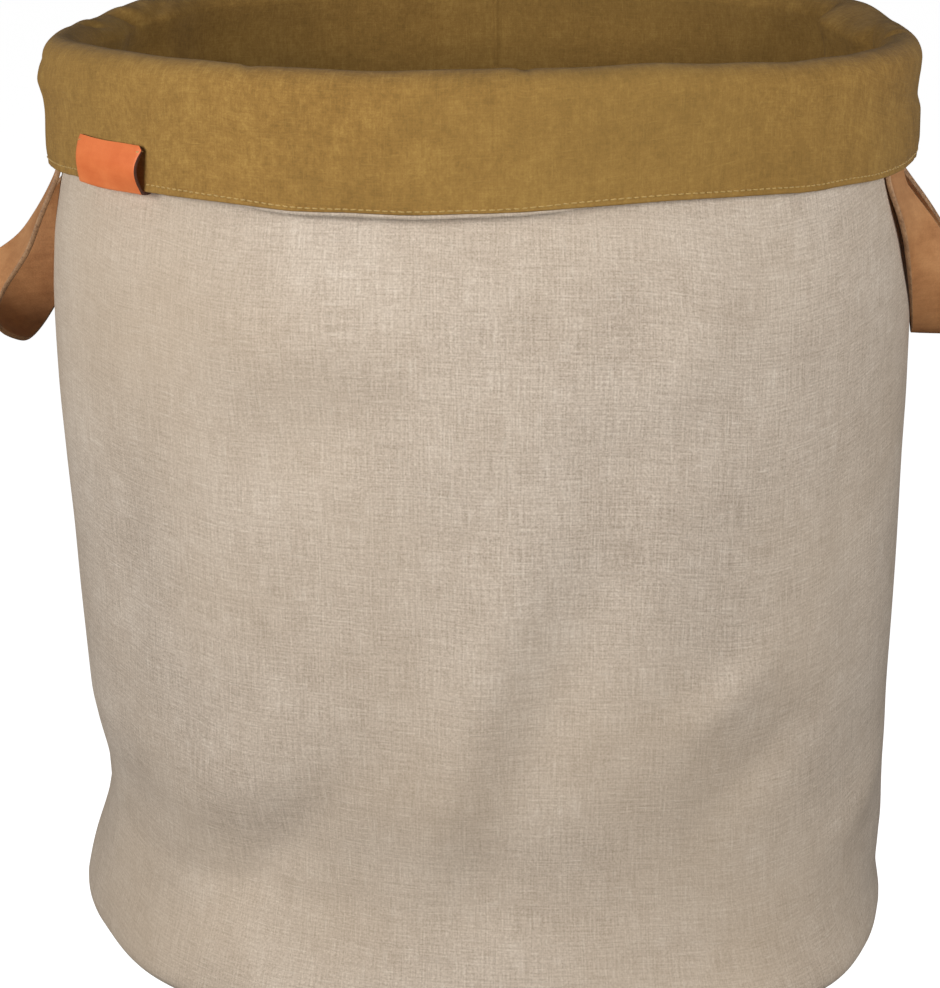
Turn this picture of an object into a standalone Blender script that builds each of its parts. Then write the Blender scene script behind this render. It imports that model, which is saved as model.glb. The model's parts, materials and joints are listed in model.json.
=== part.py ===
"""A soft round storage bin with a turned-down cuff, a leather label and two leather strap handles.

Canvas wall and base outside, cotton lining inside, a felt interlining and a base board between them.
Canvas and lining both run up the wall, over the rim and down outside it, where they make the cuff.
The frame: metres, +Z up, origin at the centre of the base's underside, handles on +X and -X.
"""

import math

import bpy
from mathutils import Vector

# Driving dimensions
RIM_HEIGHT = 0.420  # top of the folded rim
CUFF_HEIGHT = 0.058  # from the top of the rim down to the hem
CORNER_RADIUS = 0.015  # round lower edge of the wall
CORNER_CENTRE_RADIUS = 0.1815
BASE_SEAM_RADIUS = 0.1765  # the wall's flat margin under the bin ends here
BASE_CLEARANCE = 0.0005  # between the margin's edge and the base
FOLD_RADIUS = 0.0102  # the lining's outer face over the rim
FOLD_CENTRE_RADIUS = 0.1950

# Cloth and board thicknesses
CANVAS = 0.0012
INTERLINING = 0.0020
LINING = 0.0008
BOARD = 0.0020
GAP = 0.0003  # between pieces that touch
THREAD_RADIUS = 0.00035

# The wall's outer face between the corner and the rim: (radius, height)
BODY_STATIONS = (
    (0.1955, 0.030),
    (0.1931, 0.061),  # waist above the base
    (0.1972, 0.112),
    (0.1998, 0.180),
    (0.2027, 0.260),  # the widest part
    (0.2020, 0.332),
    (0.1995, 0.356),
    (0.1976, 0.370),  # leans in under the cuff
    (0.1935, 0.392),
)

# The cuff's outer face below the fold: (radius, height)
CUFF_STATIONS = (
    (0.2054, 0.394),
    (0.2051, RIM_HEIGHT - CUFF_HEIGHT),
)
STITCH_ABOVE_HEM = 0.0035

# Leather label, bent round the hem
LABEL_WIDTH = 0.052
LABEL_HEIGHT = 0.020
LABEL_THICKNESS = 0.0015
LABEL_BACK_HEIGHT = 0.012  # the leg behind the cuff, above the hem
LABEL_BEARING = math.radians(-134.5)
TACK_LENGTH = 0.005
TACK_BELOW_TOP = 0.002
MERGE_WITHIN = 0.00001  # joins a full turn's first and last columns

# Leather strap handles
STRAP_WIDTH = 0.028
STRAP_THICKNESS = 0.0025
STRAP_BEARING = math.radians(14.5)  # of the middles of a handle's legs, from X
STRAP_END_TOP = 0.391  # the sewn ends, hidden behind the cuff
STRAP_END_BOTTOM = 0.3582
STRAP_FROM_WALL = 0.0005
EDGE_CLEARANCE = 0.0010  # more room for the strap's edge where it turns towards the wall
HINGE_X = 0.2000  # the line that a handle bends about, along Y
HINGE_HEIGHT = 0.355
STITCH_BOX_WIDTH = 0.020
STITCH_BOX_BOTTOM = 0.3665
STITCH_BOX_TOP = 0.388

# What sets the two handles apart, as strap_station says
HANDLES = {
    "right": {
        "side": 1,
        "turn_in": 1,
        "drop": 0.072,
        "stand_off": 0.0012,
        "lag": 6,
        "tilt": 0.0,
    },
    "left": {
        "side": -1,
        "turn_in": 1,
        "drop": 0.078,
        "stand_off": 0.0215,
        "lag": 1,
        "tilt": math.radians(36),
    },
}
HANDLE_STEPS = 28  # along a loop

FACETS = 48  # round the bin
FULL_TURN = 2 * math.pi


def start_scene():
    """Empties the scene and returns the collection for the bin's pieces."""
    for obj in list(bpy.data.objects):
        bpy.data.objects.remove(obj, do_unlink=True)
    collection = bpy.data.collections.new("fabric_storage_bin")
    bpy.context.scene.collection.children.link(collection)
    return collection


def material(name, color, roughness, metallic=0.0):
    made = bpy.data.materials.new(name)
    made.use_nodes = True
    shader = made.node_tree.nodes["Principled BSDF"]
    shader.inputs["Base Color"].default_value = (*color, 1.0)
    shader.inputs["Roughness"].default_value = roughness
    shader.inputs["Metallic"].default_value = metallic
    return made


def add_object(name, data, finish, collection):
    obj = bpy.data.objects.new(name, data)
    obj.data.materials.append(finish)
    collection.objects.link(obj)
    return obj


def mesh_from(name, points, edges=(), faces=()):
    data = bpy.data.meshes.new(name)
    data.from_pydata([tuple(p) for p in points], list(edges), list(faces))
    return data


def solidify(obj, thickness):
    shell = obj.modifiers.new("thickness", "SOLIDIFY")
    shell.thickness = thickness
    shell.offset = 0.0
    shell.use_even_offset = True


def arc(centre, radius, start_deg, end_deg, steps):
    """Points on a circle in the (radius, height) plane, both ends included."""
    points = []
    for i in range(steps + 1):
        angle = math.radians(start_deg + (end_deg - start_deg) * i / steps)
        points.append(
            (
                centre[0] + radius * math.cos(angle),
                centre[1] + radius * math.sin(angle),
            )
        )
    return points


def shifted(path, distances):
    """The path moved to its left by a distance for each point.

    Left is inwards on the wall and outwards on the cuff.
    """
    moved = []
    for i, (point, distance) in enumerate(zip(path, distances)):
        before = Vector(path[max(i - 1, 0)])
        after = Vector(path[min(i + 1, len(path) - 1)])
        along = (after - before).normalized()
        left = Vector((-along.y, along.x))
        moved.append(tuple(Vector(point) + left * distance))
    return moved


def canvas_path():
    """The canvas's middle surface in (radius, height).

    It runs from the base seam up, over the rim and down to the hem.
    Returns the path and the number of its points that lie on the wall.
    """
    half = CANVAS / 2
    margin = [(BASE_SEAM_RADIUS, half)]
    corner_centre = (CORNER_CENTRE_RADIUS, CORNER_RADIUS)
    corner = arc(corner_centre, CORNER_RADIUS - half, -90, 0, 4)
    body = [(radius - half, height) for radius, height in BODY_STATIONS]
    under_lining = LINING + GAP + half
    fold_centre = (FOLD_CENTRE_RADIUS, RIM_HEIGHT - FOLD_RADIUS)
    fold = arc(fold_centre, FOLD_RADIUS - under_lining, 180, 0, 5)
    cuff = [(radius - under_lining, height) for radius, height in CUFF_STATIONS]
    wall = margin + corner + body
    return wall + fold + cuff, len(wall)


def turned(name, path, thickness, finish, collection, turn=FULL_TURN, steps=FACETS):
    """A sheet made by turning a path about Z, then thickened. A part turn is centred on +X."""
    points = [(radius, 0.0, height) for radius, height in path]
    edges = [(i, i + 1) for i in range(len(points) - 1)]
    obj = add_object(name, mesh_from(name, points, edges), finish, collection)
    screw = obj.modifiers.new("turn", "SCREW")
    screw.angle = turn
    screw.steps = steps
    screw.render_steps = steps
    screw.use_merge_vertices = turn == FULL_TURN
    screw.merge_threshold = MERGE_WITHIN
    solidify(obj, thickness)
    return obj


def adopt(obj, name, finish, collection):
    """Names a primitive, gives it its finish and moves it to the bin's collection."""
    obj.name = name
    obj.data.materials.append(finish)
    for holder in list(obj.users_collection):
        holder.objects.unlink(obj)
    collection.objects.link(obj)


def add_disc(name, radius, bottom, thickness, finish, collection):
    bpy.ops.mesh.primitive_cylinder_add(
        vertices=FACETS,
        radius=radius,
        depth=thickness,
        location=(0, 0, bottom + thickness / 2),
    )
    adopt(bpy.context.object, name, finish, collection)


def add_walls(finishes, collection):
    """The canvas, interlining and lining walls, and the stitching along the hem."""
    canvas, wall_points = canvas_path()
    to_interlining = CANVAS / 2 + GAP + INTERLINING / 2
    to_lining_on_wall = to_interlining + INTERLINING / 2 + GAP + LINING / 2
    to_lining_on_cuff = CANVAS / 2 + GAP + LINING / 2
    turned("outer_wall", canvas, CANVAS, finishes["canvas"], collection)

    wall = canvas[:wall_points]
    felt = shifted(wall, [to_interlining] * wall_points)
    turned(
        "wall_interlining", felt, INTERLINING, finishes["interlining"], collection
    )

    beyond_wall = len(canvas) - wall_points
    distances = [to_lining_on_wall] * wall_points + [to_lining_on_cuff] * beyond_wall
    lining = shifted(canvas, distances)
    turned("lining_wall", lining, LINING, finishes["lining"], collection)

    # The thread lies on the lining's outer face, just above the hem.
    hem_radius = CUFF_STATIONS[-1][0]
    bpy.ops.mesh.primitive_torus_add(
        major_radius=hem_radius + 2 * GAP + THREAD_RADIUS,
        minor_radius=THREAD_RADIUS,
        major_segments=FACETS,
        minor_segments=6,
        location=(0, 0, RIM_HEIGHT - CUFF_HEIGHT + STITCH_ABOVE_HEM),
    )
    adopt(bpy.context.object, "hem_topstitch", finishes["thread"], collection)


def add_base(finishes, collection):
    """Canvas base, base board and lining base, stacked."""
    radius = BASE_SEAM_RADIUS - BASE_CLEARANCE
    board_bottom = CANVAS + GAP
    lining_bottom = board_bottom + BOARD + GAP
    add_disc("outer_base", radius, 0.0, CANVAS, finishes["canvas"], collection)
    add_disc(
        "base_board", radius, board_bottom, BOARD, finishes["board"], collection
    )
    add_disc(
        "lining_base", radius, lining_bottom, LINING, finishes["lining"], collection
    )


def add_label(finishes, collection):
    """A leather strip bent round the hem: a leg behind the cuff, a round bottom and a leg in front."""
    hem = RIM_HEIGHT - CUFF_HEIGHT
    front_radius = CUFF_STATIONS[-1][0] + 2 * GAP + 2 * THREAD_RADIUS + LABEL_THICKNESS
    back_radius = wall_radius(hem) + 2 * GAP + LABEL_THICKNESS / 2
    bend_radius = (front_radius - back_radius) / 2
    bend_centre = ((front_radius + back_radius) / 2, hem)
    path = [
        (back_radius, hem + LABEL_BACK_HEIGHT),
        *arc(bend_centre, bend_radius, 180, 360, 6),
        (front_radius, hem - bend_radius + LABEL_HEIGHT),
    ]
    turn = LABEL_WIDTH / front_radius
    label = turned(
        "label", path, LABEL_THICKNESS, finishes["label"], collection, turn, 6
    )
    label.rotation_euler.z = LABEL_BEARING - turn / 2

    # A stitch over each upper corner holds the front leg to the cuff.
    tack_radius = front_radius + LABEL_THICKNESS / 2 + GAP + THREAD_RADIUS
    for name, bearing in (
        ("label_tack_left", LABEL_BEARING - turn / 2),
        ("label_tack_right", LABEL_BEARING + turn / 2),
    ):
        bpy.ops.mesh.primitive_cylinder_add(
            vertices=8,
            radius=THREAD_RADIUS,
            depth=TACK_LENGTH,
            location=(
                tack_radius * math.cos(bearing),
                tack_radius * math.sin(bearing),
                hem - bend_radius + LABEL_HEIGHT - TACK_BELOW_TOP,
            ),
            rotation=(math.pi / 2, 0, bearing),
        )
        adopt(bpy.context.object, name, finishes["thread"], collection)


def wall_radius(height):
    """The wall's outer face at a height above the corner and below the rim."""
    for (low_radius, low), (high_radius, high) in zip(
        BODY_STATIONS, BODY_STATIONS[1:]
    ):
        if low <= height <= high:
            share = (height - low) / (high - low)
            return low_radius + (high_radius - low_radius) * share
    return BODY_STATIONS[-1][0]


def strap_end_radius(height):
    """Middle of a sewn end's thickness, which follows the wall's lean behind the cuff."""
    return wall_radius(height) + STRAP_FROM_WALL + STRAP_THICKNESS / 2


def add_strap_end(name, bearing, finishes, collection):
    """One end of a strap, sewn flat to the wall behind the cuff, and its box of stitches."""
    bends = [z for _, z in BODY_STATIONS if STRAP_END_BOTTOM < z < STRAP_END_TOP]
    heights = (STRAP_END_BOTTOM, *bends, STRAP_END_TOP)
    path = [(strap_end_radius(height), height) for height in heights]
    turn = STRAP_WIDTH / wall_radius(HINGE_HEIGHT)
    end = turned(
        name, path, STRAP_THICKNESS, finishes["leather"], collection, turn, 4
    )
    end.rotation_euler.z = bearing - turn / 2

    half_turn = STITCH_BOX_WIDTH / 2 / wall_radius(STITCH_BOX_BOTTOM)
    middle = (STITCH_BOX_BOTTOM + STITCH_BOX_TOP) / 2
    round_the_box = (
        (-1, STITCH_BOX_BOTTOM),
        (0, STITCH_BOX_BOTTOM),
        (1, STITCH_BOX_BOTTOM),
        (1, middle),
        (1, STITCH_BOX_TOP),
        (0, STITCH_BOX_TOP),
        (-1, STITCH_BOX_TOP),
        (-1, middle),
    )
    box = bpy.data.curves.new(name + "_stitching", "CURVE")
    box.dimensions = "3D"
    box.bevel_depth = THREAD_RADIUS
    box.bevel_resolution = 1
    spline = box.splines.new("POLY")
    spline.points.add(len(round_the_box) - 1)
    spline.use_cyclic_u = True
    for point, (across, height) in zip(spline.points, round_the_box):
        face = strap_end_radius(height) + STRAP_THICKNESS / 2
        radius = face + GAP + THREAD_RADIUS
        angle = bearing + across * half_turn
        point.co = (radius * math.cos(angle), radius * math.sin(angle), height, 1)
    add_object(name + "_stitching", box, finishes["thread"], collection)


def strap_station(share, side, turn_in, drop, stand_off, lag, tilt):
    """Centre of the loop and the direction across the strap, in the hinge's frame.

    share runs from 0 at the front leg's top to 1 at the back leg's top. side is +1 on +X and -1 on -X.
    The strap lies flat to the wall at its ends and turns edge-on to it at the bottom; turn_in is +1 where
    the legs' inner edges become the loop's outer edge there, and -1 where their outer edges do.
    drop is how far the bottom hangs below the hinge, stand_off the gap between the wall and the strap's
    near edge there, lag how late on its way down the strap leaves the wall, and tilt how far its far edge
    is raised.
    """
    low = math.sin(math.pi * share)
    bearing = -STRAP_BEARING * math.cos(math.pi * share)
    twist = math.pi / 2 * low**1.2
    from_wall = STRAP_FROM_WALL + (stand_off - STRAP_FROM_WALL) * low**lag
    near_edge_drop = STRAP_WIDTH / 2 * math.sin(twist) * math.sin(tilt * low)
    radius = (
        wall_radius(HINGE_HEIGHT - drop * low - near_edge_drop)
        + from_wall
        + EDGE_CLEARANCE * low
        + STRAP_THICKNESS / 2
        + STRAP_WIDTH / 2 * math.sin(twist) * math.cos(tilt * low)
    )
    outward = Vector((side * math.cos(bearing), math.sin(bearing), 0.0))
    sideways = Vector((-side * math.sin(bearing), math.cos(bearing), 0.0))
    raised = outward * math.cos(tilt * low) + Vector((0, 0, math.sin(tilt * low)))
    centre = outward * radius - Vector((side * HINGE_X, 0.0, drop * low))
    leg = 1 if share < 0.5 else -1
    across = raised * math.sin(twist) + sideways * turn_in * leg * math.cos(twist)
    return centre, across


def add_handle(name, shape, finish, collection):
    """The free loop of a strap, with its origin on the line that it bends about."""
    steps = HANDLE_STEPS
    stations = [strap_station(i / steps, **shape) for i in range(steps + 1)]
    points = []
    for i, (centre, across) in enumerate(stations):
        ahead = stations[min(i + 1, steps)][0] - stations[max(i - 1, 0)][0]
        along = ahead.normalized()
        flat = (across - along * across.dot(along)).normalized()
        for share in (-0.5, 0.0, 0.5):
            points.append(centre + flat * STRAP_WIDTH * share)
    faces = []
    for i in range(steps):
        for j in range(2):
            corner = 3 * i + j
            faces.append((corner, corner + 1, corner + 4, corner + 3))
    obj = add_object(name, mesh_from(name, points, (), faces), finish, collection)
    obj.location = (shape["side"] * HINGE_X, 0.0, HINGE_HEIGHT)
    solidify(obj, STRAP_THICKNESS)


def shade_round_pieces(collection):
    for obj in collection.objects:
        if obj.type == "MESH":
            obj.data.shade_smooth()
            obj.data.set_sharp_from_angle(angle=math.radians(40))


def main():
    collection = start_scene()
    finishes = {
        "canvas": material("canvas", (0.52, 0.45, 0.35), 0.9),
        "lining": material("lining", (0.36, 0.23, 0.06), 0.9),
        "interlining": material("interlining", (0.75, 0.74, 0.70), 0.95),
        "board": material("board", (0.30, 0.29, 0.27), 0.7),
        "thread": material("thread", (0.72, 0.52, 0.14), 0.6),
        "label": material("label", (0.80, 0.22, 0.07), 0.5),
        "leather": material("leather", (0.42, 0.22, 0.10), 0.55),
    }
    add_walls(finishes, collection)
    add_base(finishes, collection)
    add_label(finishes, collection)
    for hand, shape in HANDLES.items():
        side = shape["side"]
        facing = 0.0 if side > 0 else math.pi
        for place, sign in (("front", -side), ("back", side)):
            bearing = facing + sign * STRAP_BEARING
            add_strap_end(f"{hand}_strap_end_{place}", bearing, finishes, collection)
        add_handle(f"{hand}_handle", shape, finishes["leather"], collection)
    shade_round_pieces(collection)


main()
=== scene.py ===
"""The looks of a soft round fabric storage bin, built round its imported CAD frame.

Every sheet is drawn from one rule for the bin's shape: where the wall's outer face lies at each bearing and
height, how the rim rises and rolls, and how far the cuff stands out. Lengths are in metres and bearings are
angles round Z from +X, so that -90 degrees is the front.
"""

import json
import math

import bmesh
import bpy
import numpy as np
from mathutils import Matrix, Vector


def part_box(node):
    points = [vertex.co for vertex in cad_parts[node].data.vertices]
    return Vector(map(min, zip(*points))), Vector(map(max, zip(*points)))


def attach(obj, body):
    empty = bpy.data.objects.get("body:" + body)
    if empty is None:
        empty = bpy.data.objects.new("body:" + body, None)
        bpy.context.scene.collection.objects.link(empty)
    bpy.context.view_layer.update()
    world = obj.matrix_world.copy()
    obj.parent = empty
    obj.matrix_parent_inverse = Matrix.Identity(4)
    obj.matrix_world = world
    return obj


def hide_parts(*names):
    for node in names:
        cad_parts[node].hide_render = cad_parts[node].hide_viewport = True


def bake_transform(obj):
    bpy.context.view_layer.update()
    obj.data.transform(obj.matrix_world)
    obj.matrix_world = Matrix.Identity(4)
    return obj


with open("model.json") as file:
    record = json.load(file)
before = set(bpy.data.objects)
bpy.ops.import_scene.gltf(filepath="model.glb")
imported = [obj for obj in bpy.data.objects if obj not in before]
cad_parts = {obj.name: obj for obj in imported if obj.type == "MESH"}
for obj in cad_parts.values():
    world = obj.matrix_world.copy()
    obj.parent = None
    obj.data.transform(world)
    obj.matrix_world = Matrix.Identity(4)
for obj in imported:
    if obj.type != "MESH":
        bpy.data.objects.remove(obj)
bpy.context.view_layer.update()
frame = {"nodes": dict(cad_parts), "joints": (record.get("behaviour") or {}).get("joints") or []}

# Levels and radii read from the frame
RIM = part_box("lining_wall")[1].z
STITCH_LEVEL = (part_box("hem_topstitch")[0].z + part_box("hem_topstitch")[1].z) / 2
HEM = STITCH_LEVEL - 0.0035
SEAM_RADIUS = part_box("outer_base")[1].x
WALL_FOOT = SEAM_RADIUS + 0.0008  # where the wall's sheets start, just outside the base's seam
FLOOR_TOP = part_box("lining_base")[1].z
HINGES = {joint["child"]: joint["pos_m"] for joint in frame["joints"]}

# Cloth, leather and thread
CANVAS = 0.0010
LINING = 0.0006
FELT = 0.0020
FELT_TOP = 0.380
LAYER_GAP = 0.0001
WALL_DEPTH = 0.0046  # from the canvas's outer face to the lining's inner face
THREAD_RADIUS = 0.00032
STITCH_PITCH = 0.0033
STITCH_LENGTH = 0.0026

# The fold over the rim
FOLD_HEIGHT = 0.0102
FOLD_CENTRE = 0.1950
CORNER = 0.0055  # round lower edge of the wall

# The cuff
CUFF_DEPTH = 0.060  # the last of the stations below
LINING_TURN = 0.0014  # how far above the hem the lining starts to turn in
TURN_PLUMP = 0.0005  # how far that turn bulges down
HEM_RADIUS = 0.2045
STITCH_SINK = 0.00022  # how deep a stitch's ends lie in the cloth

# The wall's outer face, as (height, radius), on the left and on the right; the front and back lie between
WALL_LEFT = (
    (0.008, 0.1978), (0.020, 0.1958), (0.034, 0.1922), (0.048, 0.1886), (0.061, 0.1862),
    (0.074, 0.1864), (0.100, 0.1916), (0.112, 0.1938), (0.150, 0.1960), (0.188, 0.1976),
    (0.226, 0.2002), (0.262, 0.2021), (0.300, 0.2028), (0.328, 0.2016), (0.350, 0.1984),
    (0.362, 0.1962), (0.392, 0.1920), (RIM - FOLD_HEIGHT, 0.1871),
)
WALL_RIGHT = (
    (0.008, 0.1984), (0.021, 0.1967), (0.034, 0.1981), (0.048, 0.1996), (0.100, 0.2000),
    (0.150, 0.2014), (0.188, 0.2022), (0.226, 0.2026), (0.262, 0.2035), (0.300, 0.2036),
    (0.330, 0.2024), (0.350, 0.1995), (0.362, 0.1970), (0.392, 0.1920), (RIM - FOLD_HEIGHT, 0.1871),
)

# How far the lower edge spreads past those stations, as (bearing in degrees, distance)
BASE_SPREAD = (
    (-168, 0.0006), (-150, 0.0004), (-128, 0.0064), (-100, 0.0070), (-66, 0.0115), (-44, 0.0184),
    (-35, 0.0174), (-22, 0.0100), (-10, 0.0036), (4, 0.0004), (60, 0.0030), (110, 0.0045),
    (160, 0.0025),
)
BASE_SPREAD_HEIGHT = 0.034

# How far the rim stands above its level, as (bearing in degrees, height)
RIM_LIFT = (
    (-165, 0.0015), (-144, 0.0030), (-120, 0.0022), (-102, 0.0010), (-80, 0.0022), (-62, 0.0030),
    (-40, 0.0006), (-10, 0.0015), (4, 0.0028), (15, 0.0045), (26, 0.0105), (50, 0.0135), (90, 0.0145),
    (135, 0.0130), (158, 0.0090), (172, 0.0030),
)

# How far the hem stands above its level
HEM_LIFT = (
    (-176, -0.0012), (-160, 0.0010), (-143, 0.0034), (-121, 0.0036), (-104, 0.0020), (-85, 0.0028),
    (-62, 0.0059), (-37, 0.0042), (-22, 0.0036), (-8, 0.0050), (12, 0.0035), (45, 0.0008),
    (80, 0.0022), (120, 0.0002), (155, 0.0012),
)

# The cuff's outer face, as (distance below the rim, radius); its last point is moved to the hem
CUFF_LEFT = (
    (0.0102, 0.2040), (0.0150, 0.2058), (0.0200, 0.2067), (0.0245, 0.2056), (0.0290, 0.2044),
    (0.0380, 0.2036), (0.0520, 0.2034), (0.0600, 0.2026),
)
CUFF_RIGHT = (
    (0.0102, 0.2042), (0.0150, 0.2038), (0.0200, 0.2031), (0.0290, 0.2022), (0.0380, 0.2038),
    (0.0500, 0.2038), (0.0600, 0.2028),
)
CUFF_ROUND = (
    (0.0102, 0.2050), (0.0200, 0.2050), (0.0300, 0.2046), (0.0450, 0.2044), (0.0600, 0.2040),
)
CUFF_LEFT_AT, CUFF_LEFT_WIDTH = math.radians(-168), math.radians(24)
CUFF_RIGHT_AT, CUFF_RIGHT_WIDTH = math.radians(1), math.radians(24)

# How far the row of stitches runs above the hem, and how far the canvas's edge shows below the lining's
STITCH_ABOVE_HEM = (
    (-178, 0.0034), (-127, 0.0036), (-112, 0.0026), (-100, 0.0018), (-82, 0.0018), (-68, 0.0028),
    (-30, 0.0030), (20, 0.0036), (90, 0.0032), (140, 0.0036),
)
CANVAS_BELOW_HEM = (
    (-178, -0.0012), (-118, -0.0012), (-108, 0.0012), (-92, 0.0016), (-76, 0.0012), (-66, -0.0012),
    (20, -0.0010), (90, 0.0006), (140, -0.0012),
)

# Soft folds in the wall: (bearing, height, lean from upright in degrees, half length, half width, rise)
WALL_FOLDS = (
    (-107, 0.312, 82, 0.050, 0.026, 0.0045), (-104, 0.268, 60, 0.040, 0.020, -0.0027),
    (-84, 0.150, 16, 0.105, 0.017, 0.0036), (-73, 0.165, 20, 0.080, 0.018, -0.0030),
    (-50, 0.150, 58, 0.030, 0.014, 0.0042), (-44, 0.118, 60, 0.036, 0.013, -0.0030),
    (-112, 0.075, 42, 0.060, 0.013, -0.0039), (-120, 0.098, 40, 0.050, 0.016, 0.0027),
    (-58, 0.300, 30, 0.045, 0.022, 0.0024), (-66, 0.262, 70, 0.050, 0.020, -0.0024),
    (-136, 0.180, 12, 0.070, 0.016, -0.0027), (-30, 0.215, -20, 0.070, 0.018, -0.0024),
    (-22, 0.070, 70, 0.045, 0.014, 0.0030), (30, 0.200, 25, 0.080, 0.020, 0.0033),
    (75, 0.110, -35, 0.060, 0.016, -0.0033), (118, 0.240, 60, 0.060, 0.020, 0.0036),
    (150, 0.090, 40, 0.060, 0.015, -0.0030),
)

# Vertical folds in the lining: (bearing, how far in, width towards lower bearings, width towards higher ones,
# share of it left at the rim)
LINING_FOLDS = (
    (24, 0.0135, 9.0, 2.4, 0.90), (14, 0.0040, 3.0, 4.0, 0.80), (50, 0.0050, 5.0, 8.0, 0.35),
    (76, 0.0038, 5.0, 4.0, 0.30), (112, 0.0050, 7.0, 6.0, 0.35), (134, 0.0065, 5.0, 8.0, 0.45),
    (155, 0.0080, 6.0, 5.0, 0.60), (171, 0.0050, 4.0, 6.0, 0.80), (-152, 0.0050, 5.0, 8.0, 0.20),
    (-98, 0.0038, 9.0, 6.0, 0.10), (-38, 0.0055, 7.0, 5.0, 0.15),
)

# Short tucks in the cloth by the rim: (bearing, distance outwards past the rim's top, slant, length, width,
# depth)
TUCKS = (
    (176.5, -0.006, 25, 0.016, 0.0022, 0.0024), (165.5, -0.010, 40, 0.020, 0.0030, 0.0032),
    (158.0, -0.012, -20, 0.014, 0.0030, 0.0014), (2.0, -0.006, -35, 0.013, 0.0022, 0.0022),
    (11.0, -0.014, 30, 0.018, 0.0035, 0.0018), (-78.0, -0.001, 80, 0.012, 0.0030, 0.0009),
    (-112.0, -0.001, 60, 0.010, 0.0028, 0.0007),
)

LINING_SEAM = math.radians(94.7)
CANVAS_SEAM = math.radians(88.0)
SEAM_WIDTH = 0.0011
SEAM_DEPTH = 0.0009
LINING_SEAM_DEPTH = 0.0008

# Leather label
LABEL_AT = math.radians(-133.4)
LABEL_RADIUS = 0.2065
LABEL_WIDTH = 0.052
LABEL_HEIGHT = 0.0197
LABEL_THICKNESS = 0.0014
LABEL_SKEW = math.radians(0.85)
LABEL_UNDER = 0.0005  # how far the fold hangs below the hem
LABEL_CORNER = 0.0018
LABEL_BACK = 0.012  # how far it reaches up behind the hem
TACK_HALF = 0.0015  # half a corner stitch's length
TACK_BELOW_TOP = 0.0022

# Leather straps
STRAP_WIDTH = 0.028
STRAP_THICKNESS = 0.0025
STRAP_CORNER = 0.0007
STRAP_STEPS = 9
STRAP_BEARING = math.radians(14.5)
STRAP_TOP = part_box("right_strap_end_front")[1].z
STRAP_OFF_WALL = 0.0004
STRAP_EDGE_ROOM = 0.0003
STRAP_SEWN_TO = 0.3570  # below this height a strap is free
STITCH_BOX = (0.3665, 0.3880)  # lowest and highest rows of a strap end's stitches
STITCH_BOX_WIDTH = 0.020
# What each value means is said at strap_station.
STRAPS = {
    "right": {
        "side": 1,
        "turn_in": 1,
        "drop": 0.072,
        "stand_off": 0.0004,
        "lag": 6,
        "tilt": 0.0,
        "twist_lag": (1.2, 1.2),
        "pinch": 0.5,
        "sway": 0.0,
    },
    "left": {
        "side": -1,
        "turn_in": 1,
        "drop": 0.078,
        "stand_off": 0.0215,
        "lag": 1,
        "tilt": math.radians(36),
        "twist_lag": (2.1, 0.6),
        "pinch": 0.0,
        "sway": 0.009,
    },
}

FULL_TURN = 2 * math.pi
COLUMNS = 720
ROW_LENGTH = 0.0025
UV_RADIUS = 0.200  # lengths round the bin are measured at this radius


# Curves and noise


def smooth_curve(stations, at):
    """A smooth curve through (place, value) stations that doesn't overshoot them, read at the places `at`."""
    places, values = (np.array(column, float) for column in zip(*stations))
    step = np.diff(places)
    slope = np.diff(values) / step
    tangent = np.concatenate([slope[:1], np.zeros(len(places) - 2), slope[-1:]])
    same_way = slope[:-1] * slope[1:] > 0
    total = np.where(same_way, slope[:-1] + slope[1:], 1.0)
    tangent[1:-1] = np.where(same_way, 2 * slope[:-1] * slope[1:] / total, 0.0)
    at = np.clip(np.asarray(at, float), places[0], places[-1])
    i = np.clip(np.searchsorted(places, at, side="right") - 1, 0, len(step) - 1)
    t = (at - places[i]) / step[i]
    start = values[i] * (1 + 2 * t) * (1 - t) ** 2 + values[i + 1] * t * t * (3 - 2 * t)
    return start + step[i] * (tangent[i] * t * (1 - t) ** 2 + tangent[i + 1] * t * t * (t - 1))


def around(stations, theta):
    """A smooth curve through (bearing in degrees, value) stations that closes on itself."""
    turned = [(bearing + turn, value) for turn in (-360, 0, 360) for bearing, value in stations]
    return smooth_curve(turned, np.degrees(wrapped(theta)))


def wrapped(angle):
    """The angle brought between -180 and 180 degrees, in radians."""
    return (np.asarray(angle) + math.pi) % FULL_TURN - math.pi


def ripple(theta, seed, lowest, highest):
    """A smooth wave round the bin with whole numbers of crests between the two given, about -1 to 1."""
    rng = np.random.default_rng(seed)
    total = 0.0
    for crests in range(lowest, highest + 1):
        total = total + rng.uniform(0.4, 1.0) * np.cos(crests * theta + rng.uniform(0, FULL_TURN))
    return total / math.sqrt(highest - lowest + 1)


def lumps(theta, height, seed, count, low, high, width):
    """Soft random bumps and hollows on the wall between two heights, about -1 to 1."""
    rng = np.random.default_rng(seed)
    total = 0.0
    for _ in range(count):
        bearing = rng.uniform(-math.pi, math.pi)
        level = rng.uniform(low, high)
        size = rng.uniform(0.6, 1.4) * width
        across = wrapped(theta - bearing) * UV_RADIUS / (size * rng.uniform(0.7, 1.6))
        total = total + rng.uniform(-1, 1) * np.exp(-(across**2) - ((height - level) / size) ** 2)
    return total


def between(low, high, at):
    """0 below low, 1 above high and smooth in between."""
    share = np.clip((at - low) / (high - low), 0.0, 1.0)
    return share * share * (3 - 2 * share)


# The bin's shape


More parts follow.
